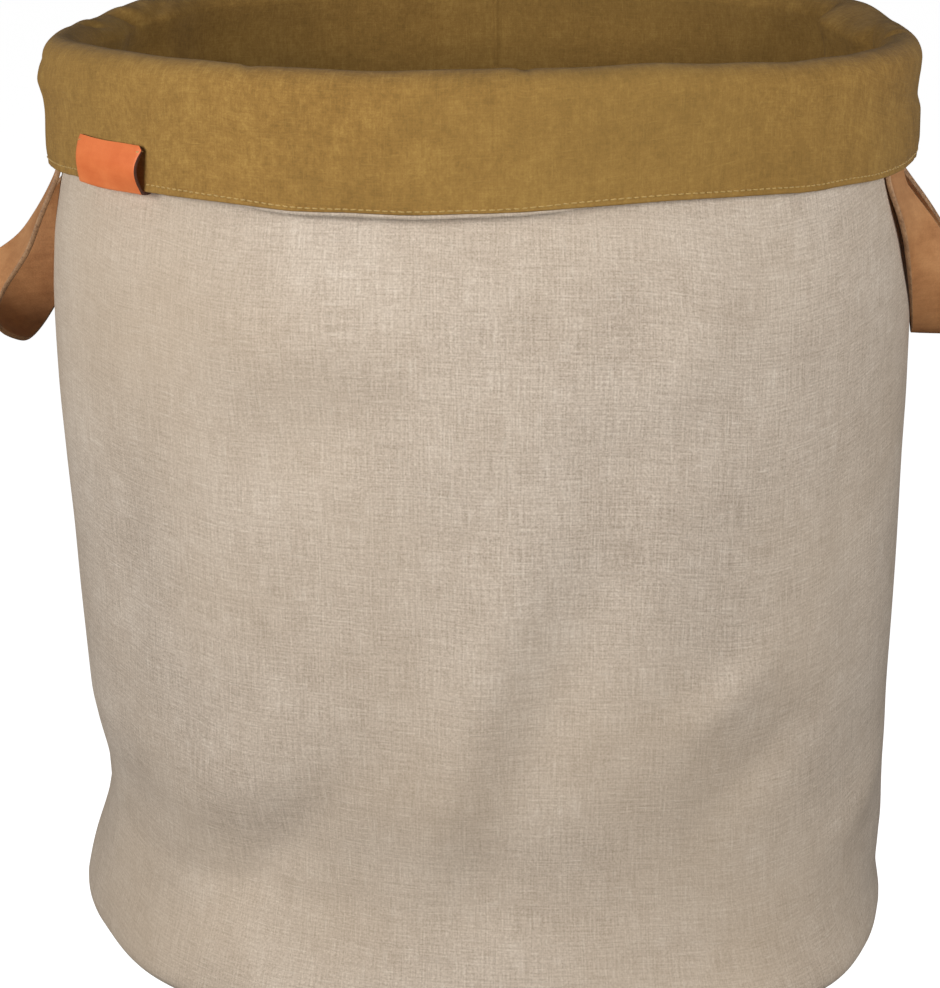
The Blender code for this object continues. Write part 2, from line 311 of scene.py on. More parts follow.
def wall_radius(theta, height):
    """The canvas's outer face."""
    share = 0.5 - 0.5 * np.cos(theta)
    right = smooth_curve(WALL_RIGHT, height)
    radius = right + (smooth_curve(WALL_LEFT, height) - right) * share
    seen = between(0.012, 0.05, height) * (1 - between(0.30, 0.352, height))
    radius = radius + 0.0012 * seen * lumps(theta, height, 11, 46, 0.02, 0.33, 0.045)
    radius = radius + around(BASE_SPREAD, theta) * np.exp(-((height / BASE_SPREAD_HEIGHT) ** 2))
    radius = radius + wall_folds(theta, height)
    near_base = between(0.006, 0.03, height) * (1 - between(0.09, 0.15, height))
    radius = radius + 0.0011 * near_base * ripple(theta, 5, 5, 13)
    radius = radius + 0.0016 * near_base * lumps(theta, height, 23, 40, 0.015, 0.11, 0.022)
    upright = np.exp(-(((height - 0.19) / 0.10) ** 2))
    return radius + 0.0006 * upright * ripple(theta, 8, 7, 16)


def wall_folds(theta, height):
    """The large soft folds and dents of the wall."""
    total = 0.0
    for bearing, level, lean, length, width, rise in WALL_FOLDS:
        x = wrapped(theta - math.radians(bearing)) * UV_RADIUS
        y = height - level
        turn = math.radians(lean)
        along = (y * math.cos(turn) + x * math.sin(turn)) / length
        across = (x * math.cos(turn) - y * math.sin(turn)) / width
        total = total + rise * np.exp(-(along**2) - across**2)
    return total


def rim_level(theta):
    return RIM + around(RIM_LIFT, theta) + 0.0003 * ripple(theta, 3, 14, 30)


def hem_level(theta):
    return HEM + around(HEM_LIFT, theta) + 0.00025 * ripple(theta, 4, 12, 34)


def cuff_radius(theta, below_rim):
    """The cuff's outer face at a distance below the rim."""
    left = np.exp(-((wrapped(theta - CUFF_LEFT_AT) / CUFF_LEFT_WIDTH) ** 2))
    right = np.exp(-((wrapped(theta - CUFF_RIGHT_AT) / CUFF_RIGHT_WIDTH) ** 2))
    even = smooth_curve(CUFF_ROUND, below_rim)
    radius = even + (smooth_curve(CUFF_LEFT, below_rim) - even) * left
    radius = radius + (smooth_curve(CUFF_RIGHT, below_rim) - even) * right
    loose = between(0.008, 0.03, below_rim)
    radius = radius + 0.0006 * loose * ripple(theta, 15, 3, 9)
    radius = radius + 0.0005 * loose * lumps(theta, below_rim, 31, 60, 0.01, 0.06, 0.016)
    low = between(0.030, 0.052, below_rim)
    for facing in (0.0, math.pi):
        for sign in (-1, 1):
            over_strap = wrapped(theta - facing - sign * STRAP_BEARING) / math.radians(7)
            radius = radius + 0.0008 * low * np.exp(-(over_strap**2))
    return radius


def columns_near(*seams):
    """Bearings round the bin, closer together at the seams."""
    bearings = np.linspace(-math.pi, math.pi, COLUMNS, endpoint=False)
    for seam in seams:
        near = seam + np.linspace(-1, 1, 25) ** 3 * math.radians(1.6)
        bearings = bearings[np.abs(wrapped(bearings - seam)) > math.radians(1.7)]
        bearings = np.concatenate([bearings, wrapped(near)])
    return np.sort(bearings)


def steps_of(length):
    return max(2, round(length / ROW_LENGTH))


def wall_path(theta, first_radius):
    """The canvas's outer face from the seam under the bin up to the fold: rows of (radius, height)."""
    rows = []
    foot = wall_radius(theta, np.full_like(theta, CORNER)) - CORNER
    for share in np.linspace(0, 1, 7):
        lift = 0.0008 * (1 - share) ** 6
        rows.append((first_radius + (foot - first_radius) * share, np.full_like(theta, lift)))
    for angle in np.radians(np.linspace(-80, 0, 8)):
        rows.append((foot + CORNER * math.cos(angle), np.full_like(theta, CORNER * (1 + math.sin(angle)))))
    top = RIM - FOLD_HEIGHT
    lift = around(RIM_LIFT, theta)
    for share in np.linspace(0, 1, steps_of(top - CORNER))[1:]:
        height = CORNER + (top - CORNER) * share
        raised = between(0.25, top, height)
        rows.append((wall_radius(theta, np.full_like(theta, height)), height + lift * raised))
    return rows


def fold_path(theta, inside):
    """The fold over the rim, `inside` the lining's outer face, from the inner side to the outer one."""
    level = rim_level(theta)
    outer = cuff_radius(theta, np.full_like(theta, FOLD_HEIGHT)) - FOLD_CENTRE
    rows = []
    for angle in np.radians(np.linspace(180, 0, 29))[1:]:
        reach = FOLD_HEIGHT if angle > math.pi / 2 else outer
        radius = FOLD_CENTRE + (reach - inside) * math.cos(angle)
        rows.append((radius, level - FOLD_HEIGHT + (FOLD_HEIGHT - inside) * math.sin(angle)))
    return rows


def cuff_path(theta, inside, past_hem):
    """The cuff from the fold down to past_hem above or below the hem, `inside` the lining's outer face."""
    level = rim_level(theta)
    drop = level - hem_level(theta) - past_hem
    rows = []
    for share in np.linspace(0, 1, 2 * steps_of(0.048))[1:]:
        below = FOLD_HEIGHT + (drop - FOLD_HEIGHT) * share
        station = FOLD_HEIGHT + (CUFF_DEPTH - FOLD_HEIGHT) * share
        depth = inside(level - below) if callable(inside) else inside
        rows.append((cuff_radius(theta, station) - depth, level - below))
    return rows


def arrays_of(rows):
    """Rows of (radius, height) as two arrays (rows, columns)."""
    columns = max(np.size(value) for row in rows for value in row)
    radius = np.array([np.broadcast_to(r, columns) for r, _ in rows])
    height = np.array([np.broadcast_to(h, columns) for _, h in rows])
    return radius, height


def moved_in(rows, distances):
    """Rows moved towards the lining's side by a distance each."""
    radius, height = arrays_of(rows)
    along_r = np.gradient(radius, axis=0)
    along_h = np.gradient(height, axis=0)
    size = np.hypot(along_r, along_h)
    amount = np.asarray(distances, float).reshape(-1, 1)
    return radius - along_h / size * amount, height + along_r / size * amount


# Meshes


def new_object(name, data):
    obj = bpy.data.objects.new(name, data)
    bpy.context.scene.collection.objects.link(obj)
    return obj


def grid_faces(rows, columns, closed):
    """Corner indices of a grid's quads. A closed grid's last column meets its first."""
    across = columns if closed else columns - 1
    i, j = np.meshgrid(np.arange(rows - 1), np.arange(across), indexing="ij")
    after = (j + 1) % columns
    corners = (i * columns + j, i * columns + after, (i + 1) * columns + after, (i + 1) * columns + j)
    uv_corners = ((i, j), (i, j + 1), (i + 1, j + 1), (i + 1, j))
    return np.stack(corners, -1).reshape(-1, 4), uv_corners


def grid_object(name, points, u, v, closed=True):
    """A sheet from an array of points (rows, columns, 3). u and v are its cloth coordinates in metres."""
    rows, columns = points.shape[:2]
    faces, uv_corners = grid_faces(rows, columns, closed)
    data = bpy.data.meshes.new(name)
    data.from_pydata(points.reshape(-1, 3).tolist(), [], faces.tolist())
    layer = data.uv_layers.new(name="cloth")
    coords = np.empty((len(faces), 4, 2), np.float32)
    for corner, (i, j) in enumerate(uv_corners):
        coords[:, corner, 0] = u[j.reshape(-1)]
        coords[:, corner, 1] = v[i.reshape(-1), (j % columns).reshape(-1)]
    layer.data.foreach_set("uv", coords.reshape(-1))
    data.shade_smooth()
    return new_object(name, data)


def turned_sheet(name, theta, radius, height, thickness, finish, flip=False):
    """A cloth sheet round the bin from (rows, columns) arrays of its middle's radius and height."""
    points = np.stack([radius * np.cos(theta), radius * np.sin(theta), height], -1)
    u = np.append(theta, theta[0] + FULL_TURN) * UV_RADIUS
    step = np.hypot(np.diff(radius, axis=0), np.diff(height, axis=0))
    v = np.concatenate([np.zeros((1, len(theta))), np.cumsum(step, axis=0)])
    obj = grid_object(name, points, u, v)
    if flip:
        obj.data.flip_normals()
    obj.data.materials.append(finish)
    thicken(obj, thickness)
    return obj


def belongs(obj, body, slot, *nodes):
    """Says which body a piece rides on and which nodes it replaces; slot is not used."""
    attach(obj, body)
    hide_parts(*nodes)


def thicken(obj, thickness):
    shell = obj.modifiers.new("thickness", "SOLIDIFY")
    shell.thickness = thickness
    shell.offset = 0.0
    shell.use_even_offset = False
    return shell


def seam_groove(theta, seam, radius=UV_RADIUS):
    """How deep a vertical seam pulls the cloth in: 1 at its line, below 0 on the ridges beside it, then 0."""
    across = np.abs(wrapped(theta - seam)) * radius
    ridge = np.exp(-(((across - 3 * SEAM_WIDTH) / (1.6 * SEAM_WIDTH)) ** 2))
    return np.exp(-((across / SEAM_WIDTH) ** 2)) - 0.35 * ridge


def tuck_depth(theta, past_rim):
    """How far the short tucks by the rim pull the cloth in. past_rim is the distance past its top."""
    total = 0.0
    for bearing, at, slant, length, width, depth in TUCKS:
        x = wrapped(theta - math.radians(bearing)) * FOLD_CENTRE
        y = past_rim - at
        turn = math.radians(slant)
        along = x * math.cos(turn) + y * math.sin(turn)
        across = y * math.cos(turn) - x * math.sin(turn)
        ridge = np.exp(-(((across - 2.4 * width) / (1.5 * width)) ** 2))
        line = np.exp(-((across / width) ** 2)) - 0.45 * ridge
        total = total + depth * line * np.exp(-((along / length * 2) ** 2))
    return total


def tucked(theta, radius, height, crown):
    """The sheet with the short tucks by the rim pulled in. crown is its row at the rim's top."""
    step = np.hypot(np.diff(radius, axis=0), np.diff(height, axis=0))
    arc = np.concatenate([np.zeros((1, len(theta))), np.cumsum(step, axis=0)])
    tuck = tuck_depth(theta, arc - arc[crown])
    slope_r, slope_h = np.gradient(radius, axis=0), np.gradient(height, axis=0)
    size = np.maximum(np.hypot(slope_r, slope_h), 1e-9)
    return radius + slope_h / size * tuck, height - slope_r / size * tuck


def lining_bulge(theta, height):
    """How far the lining's loose vertical folds stand in from the wall."""
    near_rim = between(0.380, RIM - FOLD_HEIGHT, height)
    total = 0.0011 * (1 + ripple(theta, 17, 9, 22)) * (1 - near_rim)
    for bearing, depth, before, after, kept in LINING_FOLDS:
        lean = math.radians(3.0) * (height - 0.36) / 0.2 * math.copysign(1, bearing)
        away = np.degrees(wrapped(theta - math.radians(bearing) - lean))
        fold = np.exp(-((away / np.where(away < 0, before, after)) ** 2))
        total = total + depth * fold * (1 - (1 - kept) * near_rim)
    return total * between(0.010, 0.06, height)


def add_canvas(finish):
    """The canvas: wall, fold and the cuff's inner layer, down to the hem."""
    theta = columns_near(CANVAS_SEAM)
    half = CANVAS / 2
    wall = wall_path(theta, WALL_FOOT)
    wall_r, wall_h = moved_in(wall, [half] * len(wall))
    below = around(CANVAS_BELOW_HEM, theta)
    single = LINING + LAYER_GAP + half
    turn_in = LINING + LAYER_GAP

    def inside(level):
        return single + turn_in * (1 - between(0.006, 0.011, level - hem_level(theta)))

    fold = fold_path(theta, single)
    rest_r, rest_h = arrays_of(fold + cuff_path(theta, inside, -below))
    # The seam's groove fades out at the base and towards the rim.
    groove = SEAM_DEPTH * seam_groove(theta, CANVAS_SEAM)
    wall_r = wall_r - groove * between(0.004, 0.02, wall_h) + groove * between(0.34, 0.38, wall_h)
    radius = np.concatenate([wall_r, rest_r])
    height = np.concatenate([wall_h, rest_h])
    radius, height = tucked(theta, radius, height, len(wall) + len(fold) // 2)
    obj = turned_sheet("outer_canvas", theta, radius, height, CANVAS, finish)
    belongs(obj, "bin", "canvas", "outer_wall")


def add_felt(finish):
    """The felt between canvas and lining, up to just below the fold."""
    theta = columns_near()
    wall = wall_path(theta, WALL_FOOT)
    radius, height = moved_in(wall, [CANVAS + LAYER_GAP + FELT / 2] * len(wall))
    kept = height.mean(axis=1) < FELT_TOP
    obj = turned_sheet("felt_interlining", theta, radius[kept], height[kept], FELT, finish)
    belongs(obj, "bin", "interlining", "wall_interlining")


def add_lining(finish):
    """The lining: inside of the wall, over the rim, down the cuff and turned in at the hem."""
    theta = columns_near(LINING_SEAM)
    half = LINING / 2
    wall = wall_path(theta, WALL_FOOT)
    levels = np.array([np.mean(h) for _, h in wall])
    over_wall = WALL_DEPTH - half
    at_fold = CANVAS + LAYER_GAP + half
    depth = over_wall + (at_fold - over_wall) * between(FELT_TOP + 0.008, RIM - FOLD_HEIGHT, levels)
    wall_r, wall_h = moved_in(wall, depth)
    bulge = lining_bulge(theta, np.maximum(wall_h, 0.0))
    groove = LINING_SEAM_DEPTH * seam_groove(theta, LINING_SEAM, 0.190)
    wall_r = wall_r - bulge - groove * between(0.02, 0.05, wall_h)

    fold = fold_path(theta, half)
    rest_r, rest_h = arrays_of(fold + cuff_path(theta, half, LINING_TURN))
    # The folds run on into the roll and end before its crown.
    for row in range(len(fold) // 2):
        rest_r[row] -= bulge[-1] * float(between(1.0, 0.0, (row + 1) / (len(fold) // 2)))
    stitch = hem_level(theta) + around(STITCH_ABOVE_HEM, theta)
    pull = np.exp(-(((rest_h - stitch) / 0.0009) ** 2))
    pucker = np.exp(-(((rest_h - stitch) / 0.0065) ** 2)) * ripple(theta, 41, 60, 120)
    outside = between(FOLD_CENTRE, FOLD_CENTRE + 0.006, rest_r)
    rest_r = rest_r - outside * (0.00028 * pull - 0.00016 * pucker)

    # The hem: round, then up between the cuff's two layers.
    turn_radius = (LINING + LAYER_GAP) / 2
    end_r, end_h = rest_r[-1], rest_h[-1]
    hem_r, hem_h = [], []
    for angle in np.radians(np.linspace(0, -180, 9))[1:]:
        hem_r.append(end_r - turn_radius + turn_radius * math.cos(angle))
        hem_h.append(end_h + (turn_radius + TURN_PLUMP) * math.sin(angle))
    for up in (0.002, 0.004, 0.006):
        hem_r.append(end_r - 2 * turn_radius)
        hem_h.append(end_h + up)
    radius = np.concatenate([wall_r, rest_r, np.array(hem_r)])
    height = np.concatenate([wall_h, rest_h, np.array(hem_h)])

    radius, height = tucked(theta, radius, height, len(wall) + len(fold) // 2)
    obj = turned_sheet("lining", theta, radius, height, LINING, finish, flip=True)
    belongs(obj, "bin", "lining", "lining_wall")


def disc_sheet(name, node, level, thickness, edge_lift, finish, slot):
    """A round cloth panel whose edge turns up into its seam, a little uneven all over."""
    radius = SEAM_RADIUS
    theta = np.linspace(-math.pi, math.pi, 180, endpoint=False)
    shares = np.concatenate([np.linspace(0.02, 0.93, 30), 1 - 0.07 * np.linspace(1, 0, 12)[1:] ** 1.5])
    rng = np.random.default_rng(77)
    spots = rng.uniform(-1, 1, (36, 2)) * radius
    sizes = rng.uniform(0.012, 0.04, 36)
    amounts = rng.uniform(-0.5, 0.5, 36)
    x = np.outer(shares, np.cos(theta)) * radius
    y = np.outer(shares, np.sin(theta)) * radius
    wave = sum(
        a * np.exp(-((x - sx) ** 2 + (y - sy) ** 2) / s**2) for (sx, sy), s, a in zip(spots, sizes, amounts)
    )
    rise = edge_lift * between(0.95, 1.0, shares)[:, None]
    pucker = 0.0002 * between(0.86, 0.97, shares)[:, None] * ripple(theta, 9, 40, 70)
    z = level + 0.0005 * (wave + 1) * between(1.0, 0.9, shares)[:, None] + rise + np.abs(pucker)
    points = np.stack([x, y, z], -1)
    obj = grid_object(name, points, np.append(theta, math.pi), np.broadcast_to(shares[:, None], x.shape))
    data = obj.data
    flat = np.empty((len(data.loops), 2), np.float32)
    corner = np.empty(len(data.loops), np.int32)
    data.loops.foreach_get("vertex_index", corner)
    flat[:] = points.reshape(-1, 3)[corner, :2]
    data.uv_layers["cloth"].data.foreach_set("uv", flat.reshape(-1))
    close_centre(obj, len(theta))
    obj.data.materials.append(finish)
    thicken(obj, thickness)
    belongs(obj, "bin", slot, node)


def close_centre(obj, count):
    """Fills the small hole inside a grid's first row."""
    mesh = bmesh.new()
    mesh.from_mesh(obj.data)
    mesh.verts.ensure_lookup_table()
    face = mesh.faces.new([mesh.verts[i] for i in range(count)])
    layer = mesh.loops.layers.uv["cloth"]
    for loop in face.loops:
        loop[layer].uv = loop.vert.co.xy
    face.smooth = True
    bmesh.ops.recalc_face_normals(mesh, faces=mesh.faces)
    mesh.to_mesh(obj.data)
    mesh.free()


def stitch_mesh(lines):
    """Points and faces of one short thread for each (centres, outward direction), thinner at its ends."""
    points, faces = [], []
    sides = 6
    for centres, outward in lines:
        start = len(points)
        along = (centres[-1] - centres[0]) / np.linalg.norm(centres[-1] - centres[0])
        side = np.cross(along, outward)
        count = len(centres)
        for k, centre in enumerate(centres):
            t = 2 * k / (count - 1) - 1
            thick = THREAD_RADIUS * math.sqrt(max(1 - t**4, 0.03))
            for s in range(sides):
                a = FULL_TURN * s / sides
                points.append(centre + thick * (math.cos(a) * outward + math.sin(a) * side))
        for k in range(count - 1):
            here, after = start + k * sides, start + (k + 1) * sides
            for s in range(sides):
                n = (s + 1) % sides
                faces.append((here + s, here + n, after + n, after + s))
        faces.append(tuple(start + s for s in reversed(range(sides))))
        faces.append(tuple(start + (count - 1) * sides + s for s in range(sides)))
    return points, faces


def add_stitches(name, lines, finish, nodes):
    points, faces = stitch_mesh(lines)
    data = bpy.data.meshes.new(name)
    data.from_pydata([tuple(p) for p in points], [], faces)
    data.shade_smooth()
    data.materials.append(finish)
    obj = new_object(name, data)
    belongs(obj, "bin", "thread", *nodes)


def cuff_face(theta, height):
    """The lining's outer face on the cuff at a height."""
    theta = np.asarray(theta, float)
    level = rim_level(theta)
    drop = level - hem_level(theta) - LINING_TURN
    share = np.clip((level - height - FOLD_HEIGHT) / (drop - FOLD_HEIGHT), 0, 1)
    return cuff_radius(theta, FOLD_HEIGHT + (CUFF_DEPTH - FOLD_HEIGHT) * share)


def polar(theta, radius, height):
    return np.array([radius * math.cos(theta), radius * math.sin(theta), height])


def add_hem_stitches(finish):
    """The row of top stitches just above the hem, but for the stretch under the label."""
    rng = np.random.default_rng(12)
    lines = []
    count = round(FULL_TURN * HEM_RADIUS / STITCH_PITCH)
    half_label = LABEL_WIDTH / 2 / LABEL_RADIUS
    for i in range(count):
        middle = FULL_TURN * i / count - math.pi
        if abs(wrapped(middle - LABEL_AT)) < half_label - 0.004:
            continue
        slant = rng.uniform(-0.00012, 0.00012)
        length = STITCH_LENGTH * rng.uniform(0.92, 1.06)
        centres = []
        for t in np.linspace(-1, 1, 7):
            theta = middle + t * length / 2 / HEM_RADIUS
            level = float(hem_level(theta) + around(STITCH_ABOVE_HEM, theta)) + slant * t
            face = float(cuff_face(theta, level))
            rise = STITCH_SINK * (1 - t * t) - STITCH_SINK
            centres.append(polar(theta, face + rise, level))
        outward = polar(middle, 1.0, 0.0)
        lines.append((centres, outward))
    add_stitches("hem_topstitching", lines, finish, ["hem_topstitch"])


# Leather


def strap_section():
    """Outline of a strap's section as (across, through) points, STRAP_STEPS of them on each flat face."""
    half_w, half_t = STRAP_WIDTH / 2 - STRAP_CORNER, STRAP_THICKNESS / 2 - STRAP_CORNER
    points = []
    for sign in (1, -1):
        for share in np.linspace(-1, 1, STRAP_STEPS):
            edge = 1 - 0.10 * abs(share) ** 6
            points.append((sign * share * half_w, sign * STRAP_THICKNESS / 2 * edge))
        for angle in np.radians((67.5, 45, 22.5, 0, -22.5, -45, -67.5)):
            up = half_t * math.copysign(min(1, abs(angle)), angle)
            edge_at = (half_w + STRAP_CORNER * math.cos(angle), up + STRAP_CORNER * math.sin(angle))
            points.append((sign * edge_at[0], sign * edge_at[1]))
    return points


def swept_strip(name, centres, acrosses, face_finish, edge_finish):
    """A strap along a line of centres, with rounded cut edges in their own finish and closed ends."""
    centres, acrosses = np.array(centres), np.array(acrosses)
    along = np.gradient(centres, axis=0)
    along /= np.linalg.norm(along, axis=1)[:, None]
    flat = acrosses - along * (acrosses * along).sum(1)[:, None]
    flat /= np.linalg.norm(flat, axis=1)[:, None]
    normal = np.cross(along, flat)
    section = strap_section()
    points = np.array([centres + flat * a + normal * n for a, n in section]).transpose(1, 0, 2)
    girth = np.cumsum([0.0] + [math.dist(p, q) for p, q in zip(section, section[1:] + section[:1])])
    length = np.concatenate([[0.0], np.cumsum(np.linalg.norm(np.diff(centres, axis=0), axis=1))])
    v = np.broadcast_to(length[:, None], points.shape[:2])
    obj = grid_object(name, points, girth, v)
    data = obj.data
    count = len(section)
    on_edge = np.zeros(count, bool)
    for start in (STRAP_STEPS - 1, count // 2 + STRAP_STEPS - 1):
        on_edge[start : start + 8] = True
    data.materials.append(face_finish)
    data.materials.append(edge_finish)
    data.polygons.foreach_set("material_index", np.tile(on_edge, len(centres) - 1).astype(np.int32))
    close_ends(obj, count, len(centres))
    return obj


def close_ends(obj, count, rows):
    """Caps a closed grid's first and last rows."""
    mesh = bmesh.new()
    mesh.from_mesh(obj.data)
    mesh.verts.ensure_lookup_table()
    for first in (0, (rows - 1) * count):
        face = mesh.faces.new([mesh.verts[first + i] for i in range(count)])
        face.material_index = 1
    bmesh.ops.recalc_face_normals(mesh, faces=mesh.faces)
    mesh.to_mesh(obj.data)
    mesh.free()


def add_label(face_finish, edge_finish, thread):
    """The label: a strip folded round the hem, bowed out in front, its upper corners tacked down."""
    half = LABEL_WIDTH / 2
    columns = 33
    rows = []
    thetas = LABEL_AT + np.linspace(-half, half, columns) / LABEL_RADIUS
    lifted = np.linspace(0, 1, columns)
    hem = hem_level(thetas)
    gap = LABEL_THICKNESS / 2 + 0.0003
    cuff_layers = 2 * (LINING + LAYER_GAP) + CANVAS
    behind = cuff_face(thetas, hem + 0.002) - cuff_layers - gap - 0.0002
    for up in np.linspace(LABEL_BACK, 0.0, 7):
        rows.append((behind, hem + up))
    ahead = cuff_face(thetas, hem + 0.002) + gap
    middle, reach = (ahead + behind) / 2, (ahead - behind) / 2
    for angle in np.radians(np.linspace(180, 360, 13))[1:-1]:
        rows.append((middle + reach * math.cos(angle), hem + LABEL_UNDER * math.sin(angle)))
    tall = LABEL_HEIGHT + 0.0006 * (1 - lifted)
    front_rows = 15
    for share in np.linspace(0, 1, front_rows):
        level = hem + share * tall
        bow = math.sin(math.pi * share) * (0.0014 + 0.0028 * lifted**1.6)
        corner_curl = 0.0008 * share**6 * lifted**6
        rows.append((cuff_face(thetas, level) + gap + bow + corner_curl, level))
    radius, height = arrays_of(rows)
    # Rounded upper corners: the outermost columns stop short of the top.
    from_edge = np.minimum(np.arange(columns), np.arange(columns)[::-1]) * LABEL_WIDTH / (columns - 1)
    chord = np.sqrt(np.maximum(LABEL_CORNER**2 - (LABEL_CORNER - from_edge) ** 2, 0))
    short = np.where(from_edge < LABEL_CORNER, LABEL_CORNER - chord, 0)
    share = np.linspace(0, 1, front_rows)[:, None]
    height[-front_rows:] -= short * share**4
    # It sits a little askew: its fold lies further round than its upper edge.
    skewed = thetas - LABEL_SKEW * (1 - np.clip((height - hem) / LABEL_HEIGHT, 0, 1))
    points = np.stack([radius * np.cos(skewed), radius * np.sin(skewed), height], -1)
    step = np.linalg.norm(np.diff(points, axis=0), axis=2)
    v = np.concatenate([np.zeros((1, columns)), np.cumsum(step, axis=0)])
    obj = grid_object("leather_label", points, (thetas - thetas[0]) * LABEL_RADIUS, v, closed=False)
    obj.data.materials.append(face_finish)
    obj.data.materials.append(edge_finish)
    shell = thicken(obj, LABEL_THICKNESS)
    shell.material_offset_rim = 1
    bevel = obj.modifiers.new("soft edges", "BEVEL")
    bevel.width = 0.00025
    bevel.segments = 2
    bevel.limit_method = "ANGLE"
    bevel.angle_limit = math.radians(50)
    belongs(obj, "bin", "label_leather", "label")

    for place, column in (("left", 1), ("right", columns - 2)):
        theta = thetas[column]
        level = float(height[-1, column]) - TACK_BELOW_TOP
        face = float(radius[-2, column]) + LABEL_THICKNESS / 2
        centres = []
        for t in np.linspace(-1, 1, 9):
            sink = 0.0004 - 0.0009 * t * t
            if t * (1 if place == "right" else -1) > 0:
                sink -= 0.0012 * t * t
            centres.append(polar(theta + t * TACK_HALF / LABEL_RADIUS, face + sink, level + 0.0002 * t))
        line = (centres, polar(theta, 1, 0))
        add_stitches(f"label_tack_{place}_thread", [line], thread, [f"label_tack_{place}"])


def strap_station(share, hinge, side, turn_in, drop, stand_off, lag, tilt, twist_lag, pinch, sway):
    """Centre of a strap's loop and the direction across it; share runs from its front end to its back end.

    The strap lies flat to the wall at its ends and turns edge-on to it at the bottom, drop below the hinge
    and stand_off away from the wall, its outer edge raised by tilt. turn_in is +1 where the legs' inner
    edges become the loop's outer edge there, and -1 where their outer edges do. lag is how late on its way
    down the strap leaves the wall, and twist_lag how late its front and back legs turn. pinch is how much
    closer together the legs hang, and sway how far the front leg swings out between its ends.
    """
    low = math.sin(math.pi * share)
    bearing = -STRAP_BEARING * math.cos(math.pi * share) * (1 - pinch * low)
    facing = bearing if side > 0 else math.pi - bearing
    twist = math.pi / 2 * low ** twist_lag[0 if share < 0.5 else 1]
    from_wall = STRAP_OFF_WALL + (stand_off - STRAP_OFF_WALL) * low**lag
    if share < 0.5:
        from_wall += sway * float(between(0.35, 0.75, low) * (1 - between(0.86, 1.0, low)))
    near_drop = STRAP_WIDTH / 2 * math.sin(twist) * math.sin(tilt * low)
    level = hinge[2] - drop * low
    wall = max(float(wall_radius(facing, level - near_drop + dz)) for dz in (-0.006, 0.0, 0.006))
    radius = (
        wall
        + from_wall
        + STRAP_EDGE_ROOM * low
        + STRAP_THICKNESS / 2 * math.cos(twist)
        + STRAP_WIDTH / 2 * math.sin(twist) * math.cos(tilt * low)
    )
    outward = np.array([side * math.cos(bearing), math.sin(bearing), 0.0])
    sideways = np.array([-side * math.sin(bearing), math.cos(bearing), 0.0])
    up = np.array([0.0, 0.0, 1.0])
    raised = outward * math.cos(tilt * low) + up * math.sin(tilt * low)
    leg = 1 if share < 0.5 else -1
    across = raised * math.sin(twist) + sideways * turn_in * leg * math.cos(twist)
    return outward * radius + up * level, across


def strap_end_rows(side, turn_in, leg):
    """Centres and directions of a sewn end, from its top to where the strap comes free."""
    bearing = -STRAP_BEARING * leg
    facing = bearing if side > 0 else math.pi - bearing
    sideways = np.array([-side * math.sin(bearing), math.cos(bearing), 0.0])
    rows = []
    for level in np.linspace(STRAP_TOP, STRAP_SEWN_TO, 14):
        radius = float(wall_radius(facing, level)) + STRAP_OFF_WALL + STRAP_THICKNESS / 2
        outward = np.array([side * math.cos(bearing), math.sin(bearing), 0.0])
        rows.append((outward * radius + np.array([0, 0, level]), sideways * turn_in * leg))
    return rows


def smoothed(rows, passes):
    rows = np.array(rows)
    for _ in range(passes):
        rows[1:-1] = (rows[:-2] + 2 * rows[1:-1] + rows[2:]) / 4
    return rows


def add_strap(hand, shape, face_finish, edge_finish, thread):
    """One whole strap: two ends sewn to the wall behind the cuff and the loop between them."""
    body = f"{hand}_loop"
    hinge = HINGES[body]
    steps = 120
    loop = [strap_station(i / steps, hinge=hinge, **shape) for i in range(steps + 1)]
    front = strap_end_rows(shape["side"], shape["turn_in"], 1)
    back = strap_end_rows(shape["side"], shape["turn_in"], -1)
    rows = front + loop + back[::-1]
    centres = smoothed([c for c, _ in rows], 6)
    acrosses = smoothed([a for _, a in rows], 3)
    name = f"{hand}_strap"
    obj = swept_strip(name, centres, acrosses, face_finish, edge_finish)
    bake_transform(obj)
    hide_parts(f"{hand}_handle", f"{hand}_strap_end_front", f"{hand}_strap_end_back")
    for place, leg in (("front", 1), ("back", -1)):
        add_strap_stitches(hand, place, shape["side"], leg, thread)


def add_strap_stitches(hand, place, side, leg, finish):
    """A box of stitches that holds a strap's end to the wall."""
    bearing = -STRAP_BEARING * leg
    facing = bearing if side > 0 else math.pi - bearing
    low, high = STITCH_BOX
    half = STITCH_BOX_WIDTH / 2
    corners = [(-half, low), (half, low), (half, high), (-half, high), (-half, low)]
    lines = []
    for (x0, z0), (x1, z1) in zip(corners, corners[1:]):
        count = round(math.hypot(x1 - x0, z1 - z0) / STITCH_PITCH)
        for i in range(count):
            centres = []
            for t in np.linspace(-1, 1, 7):
                share = (i + 0.5 + 0.5 * t * STITCH_LENGTH / STITCH_PITCH) / count
                x, z = x0 + (x1 - x0) * share, z0 + (z1 - z0) * share
                theta = facing + x / UV_RADIUS
                middle = float(wall_radius(facing, z)) + STRAP_OFF_WALL + STRAP_THICKNESS
                # The strap's end is flat across, so its face leaves the round wall towards its edges.
                face = middle / math.cos(x / UV_RADIUS)
                centres.append(polar(theta, face + 0.0002 * (1 - t * t) - 0.00012, z))
            lines.append((centres, polar(facing, 1, 0)))
    node = f"{hand}_strap_end_{place}_stitching"
    add_stitches(f"{hand}_strap_{place}_stitches", lines, finish, [node])


# Materials


